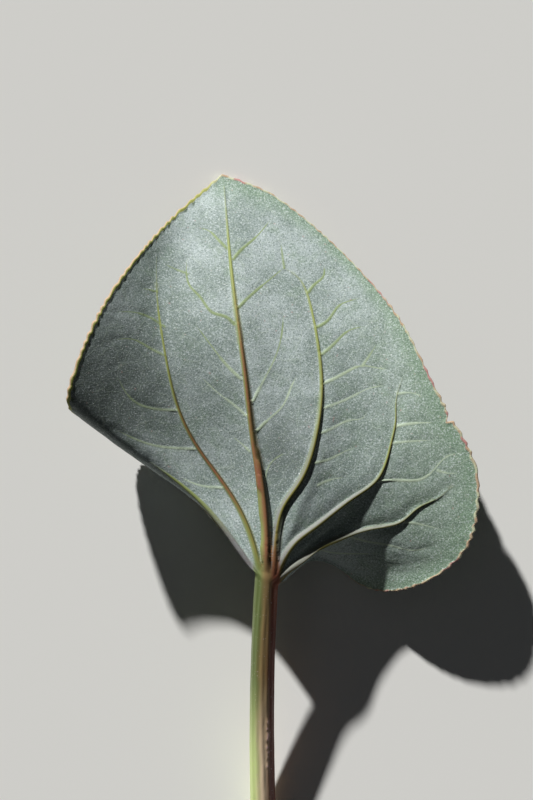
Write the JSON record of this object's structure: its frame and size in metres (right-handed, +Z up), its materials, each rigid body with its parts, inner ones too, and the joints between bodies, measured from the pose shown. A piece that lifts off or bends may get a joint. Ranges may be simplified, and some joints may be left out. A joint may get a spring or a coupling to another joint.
{
  "type": "heart-shaped pond leaf",
  "caption": "Heart-shaped pond leaf on its cut stalk, lying underside up: raised palmate veins, one basal lobe folded under, the other dished and flared.",
  "frame": {"origin": "middle of the leaf's bounding box at its lowest point, on the surface that the leaf lies on", "axes": "+Y from the cut stalk to the tip of the blade, +Z up out of the blade's underside, +X towards the flared lobe"},
  "size_m": [0.0694, 0.114, 0.0216],
  "materials": {
    "blade_grey_green": null,
    "stalk_green_brown": "smooth moist leaf stalk, green along one side and red-brown along the other"
  },
  "bodies": {
    "root": {"leaf_blade": "blade_grey_green", "leaf_stalk": "stalk_green_brown"}
  },
  "joints": []
}
